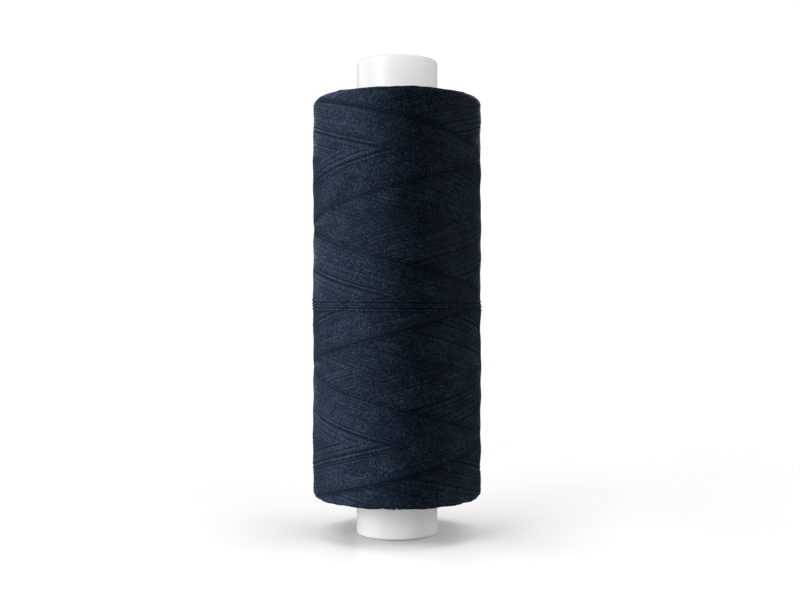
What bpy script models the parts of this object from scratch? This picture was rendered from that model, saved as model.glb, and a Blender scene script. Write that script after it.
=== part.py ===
"""A straight-tube spool of sewing thread, standing on end.

A one-piece moulded plastic tube carries a cross-wound package of thread. The thread begins in a
bunch of turns on the tube under the package, and ends in a few nearly level turns round the waist
of the package, with its tail tucked up under them.

Units are metres. +Z runs up the tube, and the origin is the centre of the bottom rim.
"""
import math

import bmesh
import bpy
from mathutils import Matrix, Vector

# Driving dimensions
TUBE_LENGTH = 0.088
TUBE_RADIUS = 0.00755
TUBE_WALL = 0.0013
RIM_ROUND_OUTER = 0.0004
RIM_ROUND_INNER = 0.0002
SLEEVE_BORE_RADIUS = 0.0040
SLEEVE_WALL = 0.0009
SLEEVE_RECESS = 0.0030
RIB_COUNT = 4
RIB_THICKNESS = 0.0010
RIB_SETBACK = 0.0008
PACKAGE_HEIGHT = 0.0734
PACKAGE_RADIUS = 0.0157
SHOULDER_ROUND = 0.0011
END_CROWN = 0.0004
THREAD_RADIUS = 0.0001
GAP = 0.0003

# The waist turns that finish the winding, and the bunch that starts it
WAIST_HEIGHT = 0.0425
WAIST_TURNS = 4
WAIST_PITCH = 0.00055
WAIST_START_ANGLE = math.radians(90)
BUNCH_TURNS = 7
BUNCH_PITCH = 0.00025
BUNCH_BASE_HEIGHT = 0.0100

# The tail: how far round, up and in it goes
TAIL_SWEEP = math.radians(75)
TAIL_RISE = 0.0046
TAIL_DIP = 0.0006

# Worked out from the dimensions above
PACKAGE_BOTTOM = (TUBE_LENGTH - PACKAGE_HEIGHT) / 2
PACKAGE_TOP = PACKAGE_BOTTOM + PACKAGE_HEIGHT
TUBE_INNER_RADIUS = TUBE_RADIUS - TUBE_WALL
SLEEVE_RADIUS = SLEEVE_BORE_RADIUS + SLEEVE_WALL
WAIST_RADIUS = PACKAGE_RADIUS - THREAD_RADIUS
WAIST_SPAN = WAIST_TURNS * WAIST_PITCH
WAIST_TOP = WAIST_HEIGHT + WAIST_SPAN / 2
WAIST_BOTTOM = WAIST_HEIGHT - WAIST_SPAN / 2
GROOVE_DEPTH = 2 * THREAD_RADIUS + GAP
GROOVE_MARGIN = THREAD_RADIUS + GAP
BUNCH_RADIUS = TUBE_RADIUS + GAP + THREAD_RADIUS
BUNCH_TOP = BUNCH_BASE_HEIGHT + BUNCH_TURNS * BUNCH_PITCH

# Fineness of the round shapes
ROUND_STEPS = 72
STRAND_SIDES = 6
POINTS_PER_TURN = 32
ARC_STEPS = 5
SHARP_ANGLE = math.radians(40)
MERGE = 0.000001


def clear_scene():
    for obj in list(bpy.data.objects):
        bpy.data.objects.remove(obj, do_unlink=True)


def make_material(name, color, roughness, metallic=0.0):
    material = bpy.data.materials.new(name)
    material.use_nodes = True
    shader = material.node_tree.nodes["Principled BSDF"]
    shader.inputs["Base Color"].default_value = (*color, 1.0)
    shader.inputs["Roughness"].default_value = roughness
    shader.inputs["Metallic"].default_value = metallic
    return material


def object_from(name, bm, material):
    """Make a smooth-shaded object with a mesh of its own from a bmesh, with normals pointing out."""
    bmesh.ops.recalc_face_normals(bm, faces=bm.faces)
    mesh = bpy.data.meshes.new(name)
    bm.to_mesh(mesh)
    bm.free()
    mesh.shade_smooth()
    mesh.set_sharp_from_angle(angle=SHARP_ANGLE)
    obj = bpy.data.objects.new(name, mesh)
    mesh.materials.append(material)
    bpy.context.scene.collection.objects.link(obj)
    return obj


def corner(center_r, center_z, radius, start_degrees, end_degrees):
    """Points of a quarter round in the (radius, height) plane."""
    points = []
    for step in range(ARC_STEPS + 1):
        angle = math.radians(start_degrees + (end_degrees - start_degrees) * step / ARC_STEPS)
        points.append((center_r + radius * math.cos(angle), center_z + radius * math.sin(angle)))
    return points


def turned(name, outline, material):
    """Turn a closed (radius, height) outline about Z into a ring."""
    bm = bmesh.new()
    verts = [bm.verts.new((radius, 0.0, height)) for radius, height in outline]
    edges = [bm.edges.new((verts[i - 1], verts[i])) for i in range(len(verts))]
    bmesh.ops.spin(
        bm,
        geom=verts + edges,
        cent=(0.0, 0.0, 0.0),
        axis=(0.0, 0.0, 1.0),
        angle=math.tau,
        steps=ROUND_STEPS,
        use_merge=True,
    )
    bmesh.ops.remove_doubles(bm, verts=bm.verts, dist=MERGE)
    return object_from(name, bm, material)


def swept(name, route, radius, material):
    """Sweep a small round section along a route near the Z axis, and cap both ends."""
    bm = bmesh.new()
    rings = []
    for index, point in enumerate(route):
        before = route[max(index - 1, 0)]
        after = route[min(index + 1, len(route) - 1)]
        along = (after - before).normalized()
        outward = Vector((point.x, point.y, 0.0)).normalized()
        outward = (outward - outward.project(along)).normalized()
        across = along.cross(outward)
        ring = []
        for side in range(STRAND_SIDES):
            angle = math.tau * side / STRAND_SIDES
            offset = outward * math.cos(angle) + across * math.sin(angle)
            ring.append(bm.verts.new(point + offset * radius))
        rings.append(ring)
    for ring, following in zip(rings, rings[1:]):
        for side in range(STRAND_SIDES):
            other = (side + 1) % STRAND_SIDES
            bm.faces.new((ring[side], ring[other], following[other], following[side]))
    bm.faces.new(rings[0])
    bm.faces.new(rings[-1])
    return object_from(name, bm, material)


def on_cylinder(radius, angle, height):
    return Vector((radius * math.cos(angle), radius * math.sin(angle), height))


def helix(radius, start_angle, start_height, turns, pitch):
    """A route of level turns that rise by the pitch in each turn; a negative pitch descends."""
    count = turns * POINTS_PER_TURN
    route = []
    for index in range(count + 1):
        turned_by = turns * index / count
        angle = start_angle + math.tau * turned_by
        route.append(on_cylinder(radius, angle, start_height + pitch * turned_by))
    return route


def smooth(value, low, high):
    """0 below low, 1 above high, and an even slope between them."""
    t = min(max((value - low) / (high - low), 0.0), 1.0)
    return t * t * (3.0 - 2.0 * t)


def tail_route():
    """From the end of the last waist turn: in, up under all the turns, and out above them."""
    start = WAIST_START_ANGLE + GAP / WAIST_RADIUS
    steps = 24
    route = []
    for step in range(steps + 1):
        t = step / steps
        dip = TAIL_DIP * smooth(t, 0.0, 0.25) * (1.0 - smooth(t, 0.75, 1.0))
        height = WAIST_BOTTOM + TAIL_RISE * smooth(t, 0.15, 1.0)
        route.append(on_cylinder(WAIST_RADIUS - dip, start + TAIL_SWEEP * t, height))
    return route


def cut_or_join(obj, tool, operation):
    modifier = obj.modifiers.new(tool.name, "BOOLEAN")
    modifier.operation = operation
    modifier.solver = "EXACT"
    modifier.object = tool
    tool.hide_render = True
    tool.display_type = "WIRE"


def rib(name, angle, material):
    """One radial web that joins the spindle sleeve to the tube's wall."""
    bottom = SLEEVE_RECESS + RIB_SETBACK
    top = TUBE_LENGTH - bottom
    inner = SLEEVE_RADIUS - SLEEVE_WALL / 2
    outer = TUBE_INNER_RADIUS + TUBE_WALL / 2
    bm = bmesh.new()
    bmesh.ops.create_cube(bm, size=1.0)
    bmesh.ops.scale(bm, vec=(outer - inner, RIB_THICKNESS, top - bottom), verts=bm.verts)
    bmesh.ops.translate(bm, vec=((inner + outer) / 2, 0.0, (top + bottom) / 2), verts=bm.verts)
    bmesh.ops.rotate(bm, matrix=Matrix.Rotation(angle, 3, "Z"), verts=bm.verts)
    return object_from(name, bm, material)


def make_core_tube(plastic):
    """The moulded tube, with rounded rims and a ribbed sleeve inside for the spool pin."""
    outer, inner = RIM_ROUND_OUTER, RIM_ROUND_INNER
    top = TUBE_LENGTH
    wall = []
    wall += corner(TUBE_RADIUS - outer, outer, outer, -90, 0)
    wall += corner(TUBE_RADIUS - outer, top - outer, outer, 0, 90)
    wall += corner(TUBE_INNER_RADIUS + inner, top - inner, inner, 90, 180)
    wall += corner(TUBE_INNER_RADIUS + inner, inner, inner, 180, 270)
    tube = turned("core_tube", wall, plastic)

    low, high = SLEEVE_RECESS, TUBE_LENGTH - SLEEVE_RECESS
    sleeve_outline = [
        (SLEEVE_RADIUS, low),
        (SLEEVE_RADIUS, high),
        (SLEEVE_BORE_RADIUS, high),
        (SLEEVE_BORE_RADIUS, low),
    ]
    sleeve = turned("sleeve_shape", sleeve_outline, plastic)
    for index in range(RIB_COUNT):
        web = rib(f"rib_shape_{index + 1}", math.tau * (index + 0.5) / RIB_COUNT, plastic)
        cut_or_join(tube, web, "UNION")
    cut_or_join(tube, sleeve, "UNION")


def make_start_bunch(thread):
    """The first turns of the thread, laid side by side on the tube under the package."""
    route = helix(BUNCH_RADIUS, 0.0, BUNCH_BASE_HEIGHT, BUNCH_TURNS, BUNCH_PITCH)
    swept("start_bunch", route, THREAD_RADIUS, thread)


def package_outline():
    """The wound body: crowned ends, round shoulders, a waist groove, and a relief for the bunch."""
    bore = TUBE_RADIUS + GAP
    groove = PACKAGE_RADIUS - GROOVE_DEPTH
    relief = BUNCH_RADIUS + THREAD_RADIUS + GAP
    shoulder = PACKAGE_RADIUS - SHOULDER_ROUND
    low, high = PACKAGE_BOTTOM, PACKAGE_TOP

    outline = [(bore, low), ((bore + shoulder) / 2, low)]
    outline += corner(shoulder, low + SHOULDER_ROUND + END_CROWN, SHOULDER_ROUND, -90, 0)
    outline += [
        (PACKAGE_RADIUS, WAIST_BOTTOM - GROOVE_MARGIN),
        (groove, WAIST_BOTTOM - GROOVE_MARGIN),
        (groove, WAIST_TOP + GROOVE_MARGIN),
        (PACKAGE_RADIUS, WAIST_TOP + GROOVE_MARGIN),
    ]
    outline += corner(shoulder, high - SHOULDER_ROUND - END_CROWN, SHOULDER_ROUND, 0, 90)
    outline += [
        ((bore + shoulder) / 2, high),
        (bore, high),
        (bore, BUNCH_TOP + GROOVE_MARGIN),
        (relief, BUNCH_TOP + GROOVE_MARGIN),
        (relief, BUNCH_BASE_HEIGHT - GROOVE_MARGIN),
        (bore, BUNCH_BASE_HEIGHT - GROOVE_MARGIN),
    ]
    return outline


def make_thread_package(thread):
    package = turned("thread_package", package_outline(), thread)
    channel = swept("tail_channel_shape", tail_route(), THREAD_RADIUS + GAP, thread)
    cut_or_join(package, channel, "DIFFERENCE")


def make_finishing_wraps(thread):
    """The last turns of the thread, nearly level, round the waist of the package."""
    route = helix(WAIST_RADIUS, WAIST_START_ANGLE, WAIST_TOP, WAIST_TURNS, -WAIST_PITCH)
    swept("finishing_wraps", route, THREAD_RADIUS, thread)


def make_thread_tail(thread):
    swept("thread_tail", tail_route(), THREAD_RADIUS, thread)


def main():
    clear_scene()
    plastic = make_material("white_plastic", (0.83, 0.83, 0.84), 0.42)
    wound_thread = make_material("navy_thread", (0.022, 0.034, 0.058), 0.85)
    waist_thread = make_material("navy_waist_thread", (0.014, 0.021, 0.036), 0.85)
    make_core_tube(plastic)
    make_start_bunch(wound_thread)
    make_thread_package(wound_thread)
    make_finishing_wraps(waist_thread)
    make_thread_tail(waist_thread)


main()
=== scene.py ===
import math

import bpy
import numpy as np
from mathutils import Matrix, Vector


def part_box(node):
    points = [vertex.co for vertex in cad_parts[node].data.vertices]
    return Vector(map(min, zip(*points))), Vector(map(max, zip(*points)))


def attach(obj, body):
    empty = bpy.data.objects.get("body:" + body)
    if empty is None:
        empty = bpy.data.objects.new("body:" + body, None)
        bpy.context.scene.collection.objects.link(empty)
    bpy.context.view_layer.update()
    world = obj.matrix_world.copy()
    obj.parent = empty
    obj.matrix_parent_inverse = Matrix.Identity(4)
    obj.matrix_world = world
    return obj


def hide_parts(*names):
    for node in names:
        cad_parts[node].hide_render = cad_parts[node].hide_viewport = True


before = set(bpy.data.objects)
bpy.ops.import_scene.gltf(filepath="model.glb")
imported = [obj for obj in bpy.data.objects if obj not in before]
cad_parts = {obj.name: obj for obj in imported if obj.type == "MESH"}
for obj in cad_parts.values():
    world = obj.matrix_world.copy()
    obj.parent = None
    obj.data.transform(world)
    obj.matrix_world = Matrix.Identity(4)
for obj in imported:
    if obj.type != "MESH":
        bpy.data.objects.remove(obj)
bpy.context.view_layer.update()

# ---------------------------------------------------------------------------
# Sizes, in metres, from the frame
# ---------------------------------------------------------------------------
TUBE_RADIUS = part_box("core_tube")[1][0]
TUBE_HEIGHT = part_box("core_tube")[1][2]
PACKAGE_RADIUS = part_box("thread_package")[1][0]
PACKAGE_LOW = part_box("thread_package")[0][2]
PACKAGE_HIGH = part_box("thread_package")[1][2]
PACKAGE_HEIGHT = PACKAGE_HIGH - PACKAGE_LOW
WAIST_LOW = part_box("finishing_wraps")[0][2]
WAIST_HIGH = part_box("finishing_wraps")[1][2]
BUNCH_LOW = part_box("start_bunch")[0][2]
BUNCH_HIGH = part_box("start_bunch")[1][2]

# The tube's inside, as in the CAD
TUBE_WALL = 0.0013
SLEEVE_BORE_RADIUS = 0.0040
SLEEVE_WALL = 0.0009
SLEEVE_RECESS = 0.0030
RIB_COUNT = 4
RIB_THICKNESS = 0.0010
RIB_SETBACK = 0.0008
RIM_ROUND_OUTER = 0.00042
RIM_ROUND_INNER = 0.00025
EDGE_ROUND = 0.0002

# The thread, and how finely its strands are drawn. On the package each one is pressed to these
# shares of its radius, outward and sideways.
THREAD_RADIUS = 0.0001
LAYER = 2 * THREAD_RADIUS
PRESSED = (0.84, 1.12)
STRAND_SIDES = 6
STEPS_PER_TURN = 60
UNDER_SIDES = 4
UNDER_STEPS_PER_TURN = 44
CELL_MARGIN = 0.08

# The winding: the turns of a double traverse, and the passes that lie side by side. The width of a
# crossing, the gap of a seam and the width of the painted shade along a seam are in spacings
# between passes.
TURNS_PER_CYCLE = 6
PASSES = 96
REVERSAL_SOFTNESS = 0.0020
HELIX_PITCH = (PACKAGE_HEIGHT + 2 * REVERSAL_SOFTNESS) / (TURNS_PER_CYCLE / 2)
NEWEST_REVERSAL_ANGLE = math.radians(180)
SHOULDER_LOW = 0.0007
SHOULDER_HIGH = 0.0011
CROSSING_DEPTH = 1.3 * THREAD_RADIUS
CROSSING_WIDTH = 1.2
WINDING_DEPTH = THREAD_RADIUS + 3 * CROSSING_DEPTH
UNDER_LAYERS_DOWN = 1.7
SEAM_GAP = 1.3
SEAM_SHADE_WIDTH = 0.75

# How unevenly it is wound. Jitter and wander are in spacings between passes. Scatter is the least,
# the usual and the most that a pass turns back short of an end, and SCATTER_REACH is the number of
# turns over which it fades out.
START_JITTER = 0.30
WANDER = 0.08
WANDER_WAVES = (1.3, 2.7, 5.1)
LOW_SCATTER = (-0.00025, -0.00005, 0.0003)
HIGH_SCATTER = (-0.0001, 0.0001, 0.0009)
SCATTER_REACH = 0.12

# Slow crossing ripples of the wound surface: waves round the package, strength and phase
RIPPLE = 0.00007
RIPPLES = ((1, 0.8, 0.4), (2, 0.5, 2.1), (3, 0.55, 4.4), (5, 0.4, 1.3))
RISING_PHASE = 1.7

# The solid body under the strands
BODY_DOWN = 2.5 * LAYER
BODY_GAP = 0.00003
BUNCH_RELIEF = 0.0008

# The arcs of thread on the end faces. Lengths are in layers, apart from the lift's spread, which is
# in thread radii.
END_ARC_POINTS = 26
END_ARCS_FEWEST = 7
END_ARCS_SPREAD = 3
END_ARC_OVERLAP = (1.15, 1.5)
END_BOW = 1.5
END_SINK = 1.3
END_SLANT = 0.9
END_SPREAD = 0.25
END_LIFT_SPREAD = 0.3
END_SPACING = 0.95

# The waist turns and the tail
WAIST_TURNS = 4
WAIST_START = math.radians(90)
WAIST_UNEVENNESS = 0.00011
WAIST_STEPS_PER_TURN = 90
WAIST_RADIUS = THREAD_RADIUS * 1.05
WAIST_SIDES = 10
WAIST_PROUD = THREAD_RADIUS * 0.6
TAIL_SWEEP = math.radians(75)
TAIL_RISE = 0.0046
TAIL_DIP = 1.4 * LAYER

# How much painted shade darkens a strand's colour: in a seam (1), between the waist turns, and per
# crossing it lies under
WAIST_PAINTED_SHADE = 0.32
BURIED_PAINTED_SHADE = 0.50
BURIED_MOST = 1.5
PAINTED_SHADE_MOST = 1.3

# ---------------------------------------------------------------------------
# Looks
# ---------------------------------------------------------------------------
NAVY_DARK = (0.0016, 0.0029, 0.0056)
NAVY = (0.0095, 0.0160, 0.0270)
NAVY_LIGHT = (0.0380, 0.0620, 0.1000)
NAVY_STOPS = ((0.42, NAVY_DARK), (0.58, NAVY), (0.72, NAVY_LIGHT))
SHEEN_TINT = (0.34, 0.58, 1.0, 1.0)
WAIST_BRIGHTNESS = 1.05
# The roughness of the darkest and of the palest thread
ROUGHNESS_DARK = 0.75
ROUGHNESS_LIGHT = 0.30

# The plies are PLY_SPACING millimetres apart along the strand, and slip unevenly
PLIES = 2
PLY_SPACING = 0.46
PLY_SLIP = 3.0
SLIP_SCALE = 0.35
FLECK_SCALE = 2.4
DRIFT_SCALE = 260.0
STRAND_SPREAD = 400.0
# What each share adds to the tone of the thread, or takes from it
FLECK_SHARE = 0.80
DRIFT_SHARE = 0.20
# The crown share paints a highlight on the ply crowns and shade between them
PAINTED_CROWN_LIGHT_SHARE = 0.06
# The facing share paints light on the outer side of each strand and shade on its inward side
PAINTED_FACING_SHADE_SHARE = 0.07
# The hollow share paints shade in seams, between the waist turns and under crossings
PAINTED_SHADE_SHARE = 0.30

PLASTIC_DARK = (0.80, 0.80, 0.805)
PLASTIC_LIGHT = (0.87, 0.87, 0.875)
PAPER = (0.86, 0.86, 0.86, 1.0)

# Between two distances from the spool the floor fades from paper to an even white, by these shares
# of white. The white's strength is one value for what the camera sees and another for what it
# sheds, and so is the world's.
FLOOR_RADIUS = 1.5
FLOOR_SIDES = 96
FLOOR_FADE_NEAR = 0.04
FLOOR_FADE_FAR = 0.22
WHITE_SHARE_NEAR = 0.10
WHITE_SHARE_FAR = 1.0
FLOOR_GLOW_SEEN = 1.05
FLOOR_GLOW_SHED = 0.20
WORLD_SEEN = 1.05
WORLD_SHED = 0.02

# The camera
EYE_HEIGHT = 0.0430
EYE_DISTANCE = 0.2062
LENS = 49.5
SENSOR = 36.0
YAW = math.radians(-0.156)
PITCH = math.radians(0.135)

# Softboxes: name, azimuth and elevation in degrees, width and height, and power. Azimuth 0 is the
# camera's side and 90 is the right.
LIGHT_DISTANCE = 0.60
THREAD_LIGHTS = (
    ("key_thread", -80, 5, (0.21, 0.60), 8.4),
    ("left_thread", -62, 5, (0.21, 0.60), 2.0),
    ("rim_thread", -160, 5, (0.21, 0.60), 0.2),
    ("right_thread", 95, 5, (0.28, 0.60), 1.4),
    ("back_thread", 180, 35, (0.60, 0.50), 3.0),
)
TUBE_LIGHTS = (
    ("key_tube", -50, 20, (0.22, 0.40), 3.2),
    ("front_tube", -25, 20, (0.22, 0.40), 0.75),
    ("left_rim_tube", -117, 5, (0.34, 0.40), 0.85),
    ("right_tube", 75, 20, (0.22, 0.40), 0.9),
    ("high_right_tube", 67, 35, (0.30, 0.40), 1.25),
    ("right_rim_tube", 115, 5, (0.34, 0.40), 0.62),
)
FLOOR_LIGHTS = (
    ("left_floor", -90, 20, (0.30, 0.25), 1.2),
    ("right_floor", 90, 20, (0.30, 0.25), 1.15),
    ("front_left_floor", -45, 50, (0.30, 0.25), 1.6),
    ("front_right_floor", 45, 50, (0.30, 0.25), 1.05),
    ("front_floor", 0, 20, (0.40, 0.25), 0.38),
    ("back_left_floor", -135, 50, (0.30, 0.25), 1.05),
    ("back_right_floor", 135, 50, (0.30, 0.25), 0.75),
    ("back_floor", 180, 20, (0.40, 0.25), 0.22),
    ("top_floor", 0, 90, (0.42, 0.16), 1.52),
)

RNG = np.random.default_rng(20)


# ---------------------------------------------------------------------------
# Mesh helpers
# ---------------------------------------------------------------------------
def new_object(name, mesh):
    obj = bpy.data.objects.new(name, mesh)
    bpy.context.scene.collection.objects.link(obj)
    return obj


def arc(center_r, center_z, radius, start_degrees, end_degrees, steps):
    """Points of a round corner in the (radius, height) plane."""
    angles = np.radians(np.linspace(start_degrees, end_degrees, steps + 1))
    return [(center_r + radius * math.cos(a), center_z + radius * math.sin(a)) for a in angles]


def turned(name, outline, steps):
    """Turn a closed (radius, height) outline, listed anticlockwise, about Z."""
    outline = np.array(outline)
    count = len(outline)
    angles = np.arange(steps) * math.tau / steps
    ring_x = np.outer(np.cos(angles), outline[:, 0])
    ring_y = np.outer(np.sin(angles), outline[:, 0])
    ring_z = np.tile(outline[:, 1], (steps, 1))
    points = np.stack((ring_x, ring_y, ring_z), axis=-1).reshape(-1, 3)
    faces = []
    for step in range(steps):
        here, there = step * count, ((step + 1) % steps) * count
        for i in range(count):
            j = (i + 1) % count
            faces.append((here + i, there + i, there + j, here + j))
    mesh = bpy.data.meshes.new(name)
    mesh.from_pydata(points.tolist(), [], faces)
    mesh.shade_smooth()
    mesh.set_sharp_from_angle(angle=math.radians(50))
    return new_object(name, mesh)


def smoothstep(value, low, high):
    t = np.clip((value - low) / (high - low), 0.0, 1.0)
    return t * t * (3.0 - 2.0 * t)


def texture_layout(strands, count, sides, length, girth):
    """UVs that give every strand a place of its own in a square texture, for baking.

    Long strands are cut into bands, and short ones are set side by side in columns. The side that
    faces outward lies in the middle of its cell.
    """
    columns = max(1, round(math.sqrt(strands * girth / length)))
    bands = max(1, round(math.sqrt(length / (strands * girth))))
    steps = math.ceil((count - 1) / bands)
    rows = math.ceil(strands * bands / columns)
    step = np.arange(count - 1)[None, :, None]
    cell = np.arange(strands)[:, None, None] * bands + step // steps
    side = (np.arange(sides)[None, None, :] + sides // 2) % sides
    inner = 1.0 - 2.0 * CELL_MARGIN
    shape = (strands, count - 1, sides)
    u0 = (cell % columns + CELL_MARGIN + inner * (step % steps) / steps) / columns
    v0 = (cell // columns + CELL_MARGIN + inner * side / sides) / rows
    u0, v0 = np.broadcast_to(u0, shape), np.broadcast_to(v0, shape)
    u1, v1 = u0 + inner / steps / columns, v0 + inner / sides / rows
    return np.stack((u0, v0, u0, v1, u1, v1, u1, v0), axis=-1).reshape(-1)


def strand_points(routes, radius, sides, pressed):
    """The points of the sections along each route. Side 0 of a section faces outward."""
    along = np.gradient(routes, axis=1)
    along /= np.linalg.norm(along, axis=2, keepdims=True)
    outward = routes * (1.0, 1.0, 0.0)
    outward /= np.linalg.norm(outward, axis=2, keepdims=True)
    outward -= along * np.sum(outward * along, axis=2, keepdims=True)
    outward /= np.linalg.norm(outward, axis=2, keepdims=True)
    across = np.cross(along, outward)

    turn = np.arange(sides) * math.tau / sides
    ring = (
        outward[:, :, None, :] * np.cos(turn)[:, None] * pressed[0]
        + across[:, :, None, :] * np.sin(turn)[:, None] * pressed[1]
    )
    return (routes[:, :, None, :] + radius * ring).reshape(-1, 3)


def strand_faces(strands, count, sides):
    """The quads along all the strands, and the caps at their ends."""
    strand_first = np.arange(strands)[:, None, None] * count * sides
    ring_first = np.arange(count - 1)[None, :, None] * sides
    side = np.arange(sides)[None, None, :]
    next_side = (side + 1) % sides
    base = strand_first + ring_first
    quads = np.stack(
        (base + side, base + next_side, base + sides + next_side, base + sides + side), axis=-1
    ).reshape(-1, 4)
    caps = []
    for index in range(strands):
        first = index * count * sides
        last = first + (count - 1) * sides
        caps.append(list(range(first + sides - 1, first - 1, -1)))
        caps.append(list(range(last, last + sides)))
    return quads.tolist(), caps


def lengths_along(routes):
    """The length along each route at each of its points, in millimetres."""
    length = np.zeros(routes.shape[:2])
    length[:, 1:] = np.cumsum(np.linalg.norm(np.diff(routes, axis=1), axis=2), axis=1) * 1000
    return length


def strand_layout(length, sides):
    """UVs that hold the length along the strand, and the way round it from 0 to 1."""
    shape = (length.shape[0], length.shape[1] - 1, sides)
    u0 = np.broadcast_to(length[:, :-1, None], shape)
    u1 = np.broadcast_to(length[:, 1:, None], shape)
    v0 = np.broadcast_to(np.arange(sides)[None, None, :] / sides, shape)
    v1 = v0 + 1.0 / sides
    return np.stack((u0, v0, u0, v1, u1, v1, u1, v0), axis=-1).reshape(-1)


def sweep_strands(name, routes, radius, sides=STRAND_SIDES, pressed=(1.0, 1.0)):
    """Sweep a section along each route of an array (strand, point, xyz), with capped ends.

    The section is round, or pressed to shares of the radius outward and sideways.

    The UV map "Strand" holds the length along the strand in millimetres and the way round it, and
    the UV map "OFBake" holds the places in a baked texture. The attribute "shade" holds one random
    value for each strand, and "hollow" holds the painted shade that darkens the colour at each point.
    """
    count = routes.shape[1]
    strands = routes.shape[0]
    quads, caps = strand_faces(strands, count, sides)
    mesh = bpy.data.meshes.new(name)
    mesh.from_pydata(strand_points(routes, radius, sides, pressed).tolist(), [], quads + caps)

    length = lengths_along(routes)
    mean_length = length[:, -1].mean() / 1000
    layouts = {
        "Strand": strand_layout(length, sides),
        "OFBake": texture_layout(strands, count, sides, mean_length, math.tau * radius),
    }
    caps_uv = np.zeros(len(caps) * sides * 2)
    for layer_name, layout in layouts.items():
        layer = mesh.uv_layers.new(name=layer_name)
        layer.data.foreach_set("uv", np.concatenate((layout, caps_uv)).astype(np.float32))
    point_values = {
        "shade": np.repeat(RNG.random(strands), count * sides),
        "painted_shade": np.repeat(painted_shades(routes), sides),
    }
    for attribute_name, values in point_values.items():
        attribute = mesh.attributes.new(attribute_name, "FLOAT", "POINT")
        attribute.data.foreach_set("value", values.astype(np.float32))
    mesh.shade_smooth()
    return new_object(name, mesh)


# ---------------------------------------------------------------------------
# The winding
# ---------------------------------------------------------------------------
def below_reversal(turns):
    """Distance from a reversal after so many turns of a straight helix that starts with a round bend."""
    run = turns * HELIX_PITCH
    return np.sqrt(run**2 + REVERSAL_SOFTNESS**2) - REVERSAL_SOFTNESS


def traverse(turns, low, high):
    """Height of a pass after so many turns from its reversal at the upper end."""
    whole = TURNS_PER_CYCLE / 2
    from_top = high - below_reversal(turns)
    from_bottom = low + below_reversal(whole - turns)
    share = smoothstep(turns / whole, 0.2, 0.8)
    return from_top * (1.0 - share) + from_bottom * share


def turns_at(height):
    """How many turns below the upper reversal a pass is at a height."""
    turns = np.linspace(0.0, TURNS_PER_CYCLE / 2, 400)
    heights = traverse(turns, PACKAGE_LOW, PACKAGE_HIGH)
    return np.interp(height, heights[::-1], turns[::-1])


def package_surface(angle, height):
    """Radius of the wound surface: slow crossing ripples, and round shoulders at both ends."""
    along = turns_at(height)
    round_by = angle / math.tau
    ripple = np.zeros(np.broadcast(angle, height).shape)
    for waves, strength, phase in RIPPLES:
        ripple += strength * np.sin(math.tau * waves * (round_by + along) + phase)
        ripple += strength * np.sin(math.tau * waves * (round_by - along) + RISING_PHASE * phase)
    radius = PACKAGE_RADIUS + RIPPLE * ripple
    for end, shoulder in ((PACKAGE_LOW, SHOULDER_LOW), (PACKAGE_HIGH, SHOULDER_HIGH)):
        inside = np.abs(height - end)
        drop = np.clip(shoulder - inside, 0.0, shoulder)
        radius = radius - shoulder + np.sqrt(np.maximum(shoulder**2 - drop**2, 0.0))
    return radius


def ages(angle, height):
    """How old the strands of each hand are at a point: 0 is the newest pass and 1 the oldest."""
    wound = turns_at(height)
    falling = (NEWEST_REVERSAL_ANGLE / math.tau + wound - angle / math.tau) % 1.0
    rising = (NEWEST_REVERSAL_ANGLE / math.tau - wound - angle / math.tau) % 1.0
    return falling, rising


def painted_shades(routes):
    """How much painted shade darkens each point: in a seam, between the waist turns, or under a strand.

    Points deeper than the windings, such as those of the end turns, get no painted shade.
    """
    x, y, height = routes[..., 0], routes[..., 1], routes[..., 2]
    seam_shade = np.zeros(height.shape)
    for age in ages(np.arctan2(y, x), height):
        from_seam = ((age + 0.5) % 1.0 - 0.5) * PASSES - 0.5 * (1.0 + SEAM_GAP)
        seam_shade = np.maximum(seam_shade, np.exp(-((from_seam / SEAM_SHADE_WIDTH) ** 2)))
    between = WAIST_PAINTED_SHADE * smoothstep(height, WAIST_LOW, WAIST_LOW + LAYER)
    between *= smoothstep(height, WAIST_HIGH, WAIST_HIGH - LAYER)
    depth = package_surface(np.arctan2(y, x), height) - np.hypot(x, y)
    buried_shade = BURIED_PAINTED_SHADE * np.clip((depth - THREAD_RADIUS) / CROSSING_DEPTH, 0.0, BURIED_MOST)
    wound = (depth > 0.0) & (depth < WINDING_DEPTH)
    return np.clip((np.maximum(seam_shade, between) + buried_shade) * wound, 0.0, PAINTED_SHADE_MOST)


def on_top_share(turns, age, angle, height):
    """1 where a pass lies over the one it crosses, and 0 where it lies under. The newer is on top."""
    falling, rising = ages(angle, height)
    own_age = age % 1.0
    other_age = np.where(turns > 0, rising, falling)
    width = CROSSING_WIDTH / PASSES
    gap = (other_age - own_age + 0.5) % 1.0 - 0.5
    near = smoothstep(gap, -width, width)
    far = smoothstep(other_age, width, 0.0) + smoothstep(other_age, 1.0 - width, 1.0)
    under_rule = np.where(other_age > own_age, 1.0, 0.0)
    on_top = np.where(np.abs(gap) < 2 * width, near, under_rule)
    return np.where(far > 0, np.clip(on_top - 0.5 * far, 0.0, 1.0), on_top)


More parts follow.
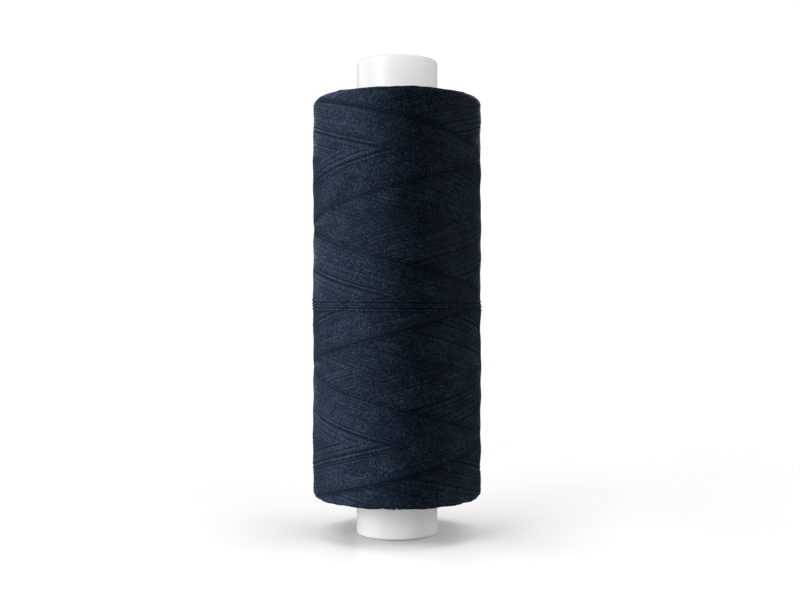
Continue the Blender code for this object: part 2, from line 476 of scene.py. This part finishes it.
def winding_routes(passes, layers_down=0, steps_per_turn=STEPS_PER_TURN):
    """One route for each pass: up from the lower end to the upper one, and down again."""
    whole = TURNS_PER_CYCLE / 2
    count = TURNS_PER_CYCLE * steps_per_turn + 1
    turns = np.linspace(-whole, whole, count)[None, :]
    age = (passes / PASSES)[:, None]
    jitter = RNG.normal(0.0, START_JITTER, (len(passes), 1)) / PASSES
    # The newest pass lies apart from the one before it, and the others close up to make room
    lag = np.where(passes > 0, SEAM_GAP * (1.0 - passes / PASSES), 0.0)[:, None] / PASSES
    start = NEWEST_REVERSAL_ANGLE / math.tau - age - lag + jitter
    wander = np.zeros((len(passes), count))
    for waves in WANDER_WAVES:
        phase = RNG.uniform(0.0, 1.0, (len(passes), 1))
        wander += WANDER / PASSES * np.sin(math.tau * (waves * turns / whole + phase))
    angle = math.tau * (start + turns + wander)

    # Each pass turns back a little sooner or later than the next one, at either end
    low_scatter = RNG.triangular(*LOW_SCATTER, (len(passes), 1))
    high_scatter = RNG.triangular(*HIGH_SCATTER, (len(passes), 1))
    from_top = np.abs(turns) / SCATTER_REACH
    from_bottom = (whole - np.abs(turns)) / SCATTER_REACH
    height = traverse(np.abs(turns), PACKAGE_LOW, PACKAGE_HIGH)
    height = height - high_scatter * np.exp(-from_top) + low_scatter * np.exp(-from_bottom)

    under = 1.0 - on_top_share(turns, age, angle, height)
    depth = THREAD_RADIUS + CROSSING_DEPTH * under + layers_down * CROSSING_DEPTH
    radius = package_surface(angle, height) - depth
    return np.stack((radius * np.cos(angle), radius * np.sin(angle), height), axis=-1)


def make_windings(material):
    """The outermost passes in two pieces, and the passes of the cycle before them in another."""
    pieces = []
    halves = np.array_split(np.arange(PASSES, dtype=float), 2)
    for index, passes in enumerate(halves):
        routes = winding_routes(passes)
        name = f"outer_winding_{index + 1}"
        pieces.append(sweep_strands(name, routes, THREAD_RADIUS, STRAND_SIDES, PRESSED))
    # The passes below lie between the outermost ones, and leave the open seam clear
    passes_below = np.arange(1, PASSES - 1) + 0.5
    routes = winding_routes(passes_below, UNDER_LAYERS_DOWN, UNDER_STEPS_PER_TURN)
    pieces.append(sweep_strands("under_winding", routes, THREAD_RADIUS, UNDER_SIDES, PRESSED))
    for piece in pieces:
        piece.data.materials.append(material)
    return pieces


def make_wound_body(material):
    """The layers under the outermost passes, down to the tube."""
    skin = PACKAGE_RADIUS - BODY_DOWN
    bore = TUBE_RADIUS + BODY_GAP
    relief = TUBE_RADIUS + BUNCH_RELIEF
    low, high = PACKAGE_LOW + LAYER, PACKAGE_HIGH - LAYER
    low_corner, high_corner = SHOULDER_LOW - 2 * LAYER, SHOULDER_HIGH - 2 * LAYER
    outline = [(bore, low)]
    outline += arc(skin - low_corner, low + low_corner, low_corner, -90, 0, 8)
    outline += [(skin, z) for z in np.linspace(low, high, 60)[2:-2]]
    outline += arc(skin - high_corner, high - high_corner, high_corner, 0, 90, 8)
    outline += [
        (bore, high),
        (bore, BUNCH_HIGH + LAYER),
        (relief, BUNCH_HIGH + LAYER),
        (relief, BUNCH_LOW - LAYER),
        (bore, BUNCH_LOW - LAYER),
    ]
    body = turned("wound_body", outline, 180)
    body.data.materials.append(material)
    return body


def end_turn_routes(height, outward_sign, shoulder):
    """Arcs of thread at one end, where the inner layers turned back, shingled over each other."""
    routes = []
    t = np.linspace(0.0, 1.0, END_ARC_POINTS)
    bow = 1.0 - (2.0 * t - 1.0) ** 2
    lift = LAYER * (END_BOW * bow - END_SINK) * outward_sign
    innermost = TUBE_RADIUS + THREAD_RADIUS
    radius = innermost
    while radius < PACKAGE_RADIUS - shoulder + LAYER:
        arcs = int(round(END_ARCS_FEWEST + END_ARCS_SPREAD * RNG.random()))
        turn = RNG.uniform(0.0, math.tau)
        for index in range(arcs):
            sweep = math.tau / arcs * RNG.uniform(*END_ARC_OVERLAP)
            angle = turn + math.tau * index / arcs + sweep * (t - 0.5)
            r = radius + LAYER * (END_SLANT * (t - 0.5) + RNG.normal(0.0, END_SPREAD))
            r = np.maximum(r, innermost)
            z = height + lift + outward_sign * RNG.normal(0.0, END_LIFT_SPREAD) * THREAD_RADIUS
            routes.append(np.stack((r * np.cos(angle), r * np.sin(angle), z), axis=-1))
        radius += LAYER * END_SPACING
    return np.array(routes)


def make_end_turns(material):
    pieces = []
    ends = (
        ("end_turns_top", PACKAGE_HIGH - LAYER, 1, SHOULDER_HIGH),
        ("end_turns_bottom", PACKAGE_LOW + LAYER, -1, SHOULDER_LOW),
    )
    for name, height, sign, shoulder in ends:
        piece = sweep_strands(name, end_turn_routes(height, sign, shoulder), THREAD_RADIUS)
        piece.data.materials.append(material)
        pieces.append(piece)
    return pieces


# ---------------------------------------------------------------------------
# The waist turns and the tail
# ---------------------------------------------------------------------------
def waist_route():
    """The last turns, nearly level, with uneven spacing."""
    count = WAIST_TURNS * WAIST_STEPS_PER_TURN + 1
    turns = np.linspace(0.0, WAIST_TURNS, count)
    angle = WAIST_START + math.tau * turns
    top, bottom = WAIST_HIGH - THREAD_RADIUS, WAIST_LOW + THREAD_RADIUS
    uneven = WAIST_UNEVENNESS * np.sin(math.tau * (turns * 0.37 + 0.2))
    uneven = uneven * np.sin(math.pi * turns / WAIST_TURNS)
    height = top + (bottom - top) * turns / WAIST_TURNS + uneven
    radius = package_surface(angle, height) + WAIST_PROUD
    return np.stack((radius * np.cos(angle), radius * np.sin(angle), height), axis=-1)[None]


def tail_route():
    """The loose end, which dips in, passes up under the waist turns and comes out above them."""
    t = np.linspace(0.0, 1.0, 60)
    angle = WAIST_START + TAIL_SWEEP * t
    height = WAIST_LOW + THREAD_RADIUS + TAIL_RISE * smoothstep(t, 0.1, 1.0)
    dip = TAIL_DIP * smoothstep(t, 0.0, 0.2) * (1.0 - smoothstep(t, 0.72, 0.9))
    radius = package_surface(angle, height) + WAIST_PROUD - dip
    return np.stack((radius * np.cos(angle), radius * np.sin(angle), height), axis=-1)[None]


def make_waist(material):
    wraps = sweep_strands("waist_turns", waist_route(), WAIST_RADIUS, WAIST_SIDES)
    wraps.data.materials.append(material)
    tail = sweep_strands("tail_end", tail_route(), WAIST_RADIUS, WAIST_SIDES)
    tail.data.materials.append(material)
    return wraps, tail


# ---------------------------------------------------------------------------
# The tube
# ---------------------------------------------------------------------------
def make_tube_wall(material):
    """The outer wall with its rounded rims."""
    inner = TUBE_RADIUS - TUBE_WALL
    outer_round, inner_round = RIM_ROUND_OUTER, RIM_ROUND_INNER
    top = TUBE_HEIGHT
    outline = []
    outline += arc(TUBE_RADIUS - outer_round, outer_round, outer_round, -90, 0, 8)
    outline += arc(TUBE_RADIUS - outer_round, top - outer_round, outer_round, 0, 90, 8)
    outline += arc(inner + inner_round, top - inner_round, inner_round, 90, 180, 6)
    outline += arc(inner + inner_round, inner_round, inner_round, 180, 270, 6)
    tube = turned("tube", outline, 180)
    tube.data.materials.append(material)
    return tube


def make_sleeve(material):
    """The sleeve for the spool pin."""
    outer, edge = SLEEVE_BORE_RADIUS + SLEEVE_WALL, EDGE_ROUND
    low, high = SLEEVE_RECESS, TUBE_HEIGHT - SLEEVE_RECESS
    outline = []
    outline += arc(outer - edge, low + edge, edge, -90, 0, 3)
    outline += arc(outer - edge, high - edge, edge, 0, 90, 3)
    outline += arc(SLEEVE_BORE_RADIUS + edge, high - edge, edge, 90, 180, 3)
    outline += arc(SLEEVE_BORE_RADIUS + edge, low + edge, edge, 180, 270, 3)
    sleeve = turned("tube_sleeve", outline, 96)
    sleeve.data.materials.append(material)
    return sleeve


def make_ribs(material):
    """The radial webs between the sleeve and the wall. Their ends lie inside both."""
    low, high = SLEEVE_RECESS + RIB_SETBACK, TUBE_HEIGHT - SLEEVE_RECESS - RIB_SETBACK
    start = SLEEVE_BORE_RADIUS + SLEEVE_WALL - SLEEVE_WALL / 2
    end = TUBE_RADIUS - TUBE_WALL + TUBE_WALL / 2
    half = RIB_THICKNESS / 2
    corners = [(x, y, z) for x in (start, end) for y in (-half, half) for z in (low, high)]
    faces = [(0, 1, 3, 2), (4, 6, 7, 5), (0, 4, 5, 1), (2, 3, 7, 6), (0, 2, 6, 4), (1, 5, 7, 3)]
    ribs = []
    for index in range(RIB_COUNT):
        mesh = bpy.data.meshes.new(f"tube_rib_{index + 1}")
        mesh.from_pydata(corners, [], faces)
        rib = new_object(mesh.name, mesh)
        rib.rotation_euler.z = math.tau * (index + 0.5) / RIB_COUNT
        bevel = rib.modifiers.new("round_edges", "BEVEL")
        bevel.width = EDGE_ROUND
        bevel.segments = 3
        mesh.materials.append(material)
        ribs.append(rib)
    return ribs


# ---------------------------------------------------------------------------
# Materials
# ---------------------------------------------------------------------------
class Nodes:
    """A few short-hands for building a Principled material."""

    def __init__(self, name):
        self.material = bpy.data.materials.new(name)
        self.material.use_nodes = True
        self.tree = self.material.node_tree
        self.shader = self.tree.nodes["Principled BSDF"]

    def add(self, kind, **settings):
        node = self.tree.nodes.new(kind)
        for key, value in settings.items():
            setattr(node, key, value)
        return node

    def link(self, source, target):
        self.tree.links.new(source, target)

    def noise(self, vector, scale, detail=2.0, roughness=0.5):
        node = self.add("ShaderNodeTexNoise")
        node.inputs["Scale"].default_value = scale
        node.inputs["Detail"].default_value = detail
        node.inputs["Roughness"].default_value = roughness
        self.link(vector, node.inputs["Vector"])
        return node.outputs["Fac"]

    def ramp(self, value, stops):
        node = self.add("ShaderNodeValToRGB")
        ramp = node.color_ramp
        ramp.elements[0].position, ramp.elements[0].color = stops[0][0], (*stops[0][1], 1)
        ramp.elements[1].position, ramp.elements[1].color = stops[-1][0], (*stops[-1][1], 1)
        for position, color in stops[1:-1]:
            ramp.elements.new(position).color = (*color, 1)
        self.link(value, node.inputs["Fac"])
        return node.outputs["Color"]

    def range(self, value, low, high, from_low=0.0, from_high=1.0):
        node = self.add("ShaderNodeMapRange")
        node.inputs["From Min"].default_value = from_low
        node.inputs["From Max"].default_value = from_high
        node.inputs["To Min"].default_value = low
        node.inputs["To Max"].default_value = high
        self.link(value, node.inputs["Value"])
        return node.outputs["Result"]

    def math(self, operation, first, second):
        node = self.add("ShaderNodeMath", operation=operation)
        for index, value in enumerate((first, second)):
            if isinstance(value, (int, float)):
                node.inputs[index].default_value = value
            else:
                self.link(value, node.inputs[index])
        return node.outputs[0]

    def stretch(self, vector, scale):
        node = self.add("ShaderNodeMapping")
        node.inputs["Scale"].default_value = scale
        self.link(vector, node.inputs["Vector"])
        return node.outputs["Vector"]

    def bump(self, height, strength, distance):
        node = self.add("ShaderNodeBump")
        node.inputs["Strength"].default_value = strength
        node.inputs["Distance"].default_value = distance
        self.link(height, node.inputs["Height"])
        self.link(node.outputs["Normal"], self.shader.inputs["Normal"])

    def set(self, **values):
        for name, value in values.items():
            self.shader.inputs[name.replace("_", " ")].default_value = value


def strand_plane(nodes, along):
    """A place for noise: millimetres along the strand, in a lane of its own for each strand."""
    shade = nodes.add("ShaderNodeAttribute", attribute_name="shade").outputs["Fac"]
    place = nodes.add("ShaderNodeCombineXYZ")
    nodes.link(along, place.inputs["X"])
    nodes.link(nodes.math("MULTIPLY", shade, STRAND_SPREAD), place.inputs["Y"])
    return place.outputs["Vector"]


def ply_crowns(nodes, own, along, around):
    """1 on the crowns of the twisted plies and -1 between them."""
    slip = nodes.math("MULTIPLY", nodes.noise(own, SLIP_SCALE, 1.0), PLY_SLIP)
    twist = nodes.math("MULTIPLY", around, PLIES)
    phase = nodes.math("ADD", nodes.math("DIVIDE", along, PLY_SPACING), twist)
    phase = nodes.math("ADD", phase, slip)
    return nodes.math("SINE", nodes.math("MULTIPLY", phase, math.tau), 0.0)


def thread_material(name, brightness=1.0):
    """Twisted polyester: plies along each strand, paler flecks of fibre, and a soft satin sheen."""
    # Besides its own tones, the colour holds painted light and shade: lighter ply crowns, a darker
    # inward side, and shade in seams, between the waist turns and under crossings
    nodes = Nodes(name)
    strand = nodes.add("ShaderNodeUVMap", uv_map="Strand").outputs["UV"]
    parts = nodes.add("ShaderNodeSeparateXYZ")
    nodes.link(strand, parts.inputs["Vector"])
    along, around = parts.outputs["X"], parts.outputs["Y"]
    own = strand_plane(nodes, along)
    crown = ply_crowns(nodes, own, along, around)
    # 1 on the side of the strand that faces out, -1 on the side that faces in, for painted shade on the
    # inward side
    painted_facing_shade = nodes.math("COSINE", nodes.math("MULTIPLY", around, math.tau), 0.0)
    flecks = nodes.noise(own, FLECK_SCALE, 2.0, 0.6)
    drift = nodes.noise(nodes.add("ShaderNodeTexCoord").outputs["Object"], DRIFT_SCALE, 2.0)
    painted_shade = nodes.add("ShaderNodeAttribute", attribute_name="painted_shade").outputs["Fac"]

    tone = nodes.math("MULTIPLY", flecks, FLECK_SHARE)
    # The crown and facing shares paint light on the ply crowns and shade on the inward side
    for value, share in ((drift, DRIFT_SHARE), (crown, PAINTED_CROWN_LIGHT_SHARE), (painted_facing_shade, PAINTED_FACING_SHADE_SHARE)):
        tone = nodes.math("ADD", tone, nodes.math("MULTIPLY", value, share))
    # Painted shade: seams, the gaps between the waist turns and strands under crossings get darker
    tone = nodes.math("SUBTRACT", tone, nodes.math("MULTIPLY", painted_shade, PAINTED_SHADE_SHARE))
    stops = []
    for position, color in NAVY_STOPS:
        stops.append((position, tuple(channel * brightness for channel in color)))
    nodes.link(nodes.ramp(tone, stops), nodes.shader.inputs["Base Color"])

    crown_relief = nodes.math("MULTIPLY", crown, 0.5)
    relief = nodes.math("ADD", crown_relief, nodes.math("MULTIPLY", flecks, 1.2))
    nodes.bump(relief, 0.9, 0.00007)
    darkest, palest = NAVY_STOPS[0][0], NAVY_STOPS[-1][0]
    roughness = nodes.range(tone, ROUGHNESS_DARK, ROUGHNESS_LIGHT, darkest, palest)
    nodes.link(roughness, nodes.shader.inputs["Roughness"])
    nodes.set(
        Specular_IOR_Level=0.30,
        Specular_Tint=SHEEN_TINT,
        Sheen_Weight=0.08,
        Sheen_Roughness=0.45,
        Sheen_Tint=SHEEN_TINT,
    )
    return nodes.material


def wound_body_material():
    """The layers seen in the gaps: crossing threads in relief, darker than the outermost ones."""
    nodes = Nodes("inner_winding")
    place = nodes.add("ShaderNodeTexCoord").outputs["Object"]
    fibres = nodes.noise(nodes.stretch(place, (1.0, 1.0, 6.0)), 900.0, 3.0, 0.6)
    drift = nodes.noise(place, 300.0)
    tone = nodes.math("MULTIPLY", fibres, 0.7)
    tone = nodes.math("ADD", tone, nodes.math("MULTIPLY", drift, 0.3))
    # Painted shade: the same thread as the outermost layers, given darker tones because it lies in the
    # gaps
    color = nodes.ramp(tone, ((0.3, NAVY_DARK), (0.7, NAVY)))
    nodes.link(color, nodes.shader.inputs["Base Color"])
    nodes.bump(fibres, 0.6, 0.0001)
    nodes.link(nodes.range(drift, 0.75, 0.9), nodes.shader.inputs["Roughness"])
    nodes.set(Specular_IOR_Level=0.3, Specular_Tint=SHEEN_TINT)
    return nodes.material


def tube_material():
    """White moulded plastic: satin, with faint flow marks and handling scuffs."""
    nodes = Nodes("white_plastic")
    place = nodes.add("ShaderNodeTexCoord").outputs["Object"]
    mottle = nodes.noise(place, 140.0, 3.0)
    scuffs = nodes.noise(nodes.stretch(place, (1.0, 1.0, 0.12)), 1600.0, 4.0, 0.7)
    grain = nodes.noise(place, 5200.0, 2.0)
    tone = nodes.math("MULTIPLY", mottle, 0.8)
    tone = nodes.math("ADD", tone, nodes.math("MULTIPLY", scuffs, 0.2))
    color = nodes.ramp(tone, ((0.3, PLASTIC_DARK), (0.7, PLASTIC_LIGHT)))
    nodes.link(color, nodes.shader.inputs["Base Color"])
    nodes.link(nodes.range(scuffs, 0.36, 0.5, 0.3, 0.7), nodes.shader.inputs["Roughness"])
    relief = nodes.math("ADD", nodes.math("MULTIPLY", grain, 0.5), scuffs)
    nodes.bump(relief, 0.25, 0.00002)
    nodes.set(
        Specular_IOR_Level=0.45,
        Subsurface_Weight=0.25,
        Subsurface_Scale=0.001,
        Subsurface_Radius=(1.0, 1.0, 1.0),
    )
    return nodes.material


# ---------------------------------------------------------------------------
# The stage, the lights and the camera
# ---------------------------------------------------------------------------
def make_camera():
    data = bpy.data.cameras.new("camera")
    data.lens = LENS
    data.sensor_width = SENSOR
    data.clip_start = 0.005
    data.clip_end = 20.0
    camera = new_object("camera", data)
    camera.location = (0.0, -EYE_DISTANCE, EYE_HEIGHT)
    camera.rotation_euler = (math.radians(90) + PITCH, 0.0, YAW)
    bpy.context.scene.camera = camera


def floor_material():
    """White paper near the object, which fades with distance into an evenly lit white.

    The even white is what the camera sees. It sheds only a little light on the object.
    """
    nodes = Nodes("floor_white")
    place = nodes.add("ShaderNodeTexCoord").outputs["Object"]
    nodes.set(Base_Color=PAPER, Roughness=0.28, Specular_IOR_Level=0.12)
    distance = nodes.add("ShaderNodeVectorMath", operation="LENGTH")
    nodes.link(place, distance.inputs[0])
    away = distance.outputs["Value"]
    fade = nodes.range(away, WHITE_SHARE_NEAR, WHITE_SHARE_FAR, FLOOR_FADE_NEAR, FLOOR_FADE_FAR)
    glow = nodes.add("ShaderNodeEmission")
    seen = nodes.add("ShaderNodeLightPath").outputs["Is Camera Ray"]
    nodes.link(nodes.range(seen, FLOOR_GLOW_SHED, FLOOR_GLOW_SEEN), glow.inputs["Strength"])
    mix = nodes.add("ShaderNodeMixShader")
    nodes.link(fade, mix.inputs["Fac"])
    nodes.link(nodes.shader.outputs["BSDF"], mix.inputs[1])
    nodes.link(glow.outputs["Emission"], mix.inputs[2])
    output = nodes.tree.nodes["Material Output"]
    nodes.link(mix.outputs["Shader"], output.inputs["Surface"])
    return nodes.material


def make_floor():
    mesh = bpy.data.meshes.new("floor")
    angles = np.arange(FLOOR_SIDES) * math.tau / FLOOR_SIDES
    rim = [(FLOOR_RADIUS * math.cos(a), FLOOR_RADIUS * math.sin(a), 0.0) for a in angles]
    mesh.from_pydata(rim, [], [list(range(FLOOR_SIDES))])
    floor = new_object("floor", mesh)
    mesh.materials.append(floor_material())
    floor.visible_glossy = False
    return floor


def softbox(name, azimuth, elevation, size, power, lit):
    """A softbox that faces the middle of the spool, and lights only the objects of a collection."""
    data = bpy.data.lights.new(name, "AREA")
    data.shape = "RECTANGLE"
    data.size, data.size_y = size
    data.energy = power
    light = new_object(name, data)
    a, e = math.radians(azimuth), math.radians(elevation)
    target = Vector((0.0, 0.0, TUBE_HEIGHT / 2))
    back = Vector((math.sin(a) * math.cos(e), -math.cos(a) * math.cos(e), math.sin(e)))
    light.location = target + back * LIGHT_DISTANCE
    light.rotation_euler = back.to_track_quat("Z", "Y").to_euler()
    light.light_linking.receiver_collection = lit


def make_world():
    """White to the camera, and a dim even fill as light."""
    world = bpy.data.worlds.new("studio")
    bpy.context.scene.world = world
    world.use_nodes = True
    tree = world.node_tree
    background = tree.nodes["Background"]
    path = tree.nodes.new("ShaderNodeLightPath")
    strength = tree.nodes.new("ShaderNodeMapRange")
    strength.inputs["To Min"].default_value = WORLD_SHED
    strength.inputs["To Max"].default_value = WORLD_SEEN
    tree.links.new(path.outputs["Is Camera Ray"], strength.inputs["Value"])
    tree.links.new(strength.outputs["Result"], background.inputs["Strength"])
    background.inputs["Color"].default_value = (1.0, 1.0, 1.0, 1.0)


def group(name, objects):
    """A collection that only says which objects a light falls on."""
    collection = bpy.data.collections.new(name)
    for obj in objects:
        collection.objects.link(obj)
    return collection


def make_lights(thread_pieces, tube_pieces, floor):
    """A key from the left with weaker fills, set apart for the dark thread, the tube and the floor."""
    sets = (
        ("lit_thread", thread_pieces, THREAD_LIGHTS),
        ("lit_tube", tube_pieces, TUBE_LIGHTS),
        ("lit_floor", [floor], FLOOR_LIGHTS),
    )
    for name, objects, lights in sets:
        lit = group(name, objects)
        for light in lights:
            softbox(*light, lit)


# ---------------------------------------------------------------------------
# Put it together
# ---------------------------------------------------------------------------
def main():
    thread = thread_material("navy_thread")
    waist_thread = thread_material("navy_waist_thread", WAIST_BRIGHTNESS)
    plastic = tube_material()

    tube = make_tube_wall(plastic)
    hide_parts("core_tube")
    tube_pieces = [tube, make_sleeve(plastic), *make_ribs(plastic)]
    for piece in tube_pieces:
        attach(piece, "root")

    body = make_wound_body(wound_body_material())
    windings = make_windings(thread)
    ends = make_end_turns(thread)
    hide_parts("thread_package")
    for piece in [body, *windings, *ends]:
        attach(piece, "root")

    wraps, tail = make_waist(waist_thread)
    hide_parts("finishing_wraps")
    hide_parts("thread_tail")
    for piece in (wraps, tail):
        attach(piece, "root")

    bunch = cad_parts["start_bunch"]
    for slot in bunch.material_slots:
        slot.material = wound_body_material()

    floor = make_floor()
    make_lights([body, *windings, *ends, wraps, tail, bunch], tube_pieces, floor)
    make_world()
    make_camera()
    bpy.context.scene.view_settings.view_transform = "Standard"


main()
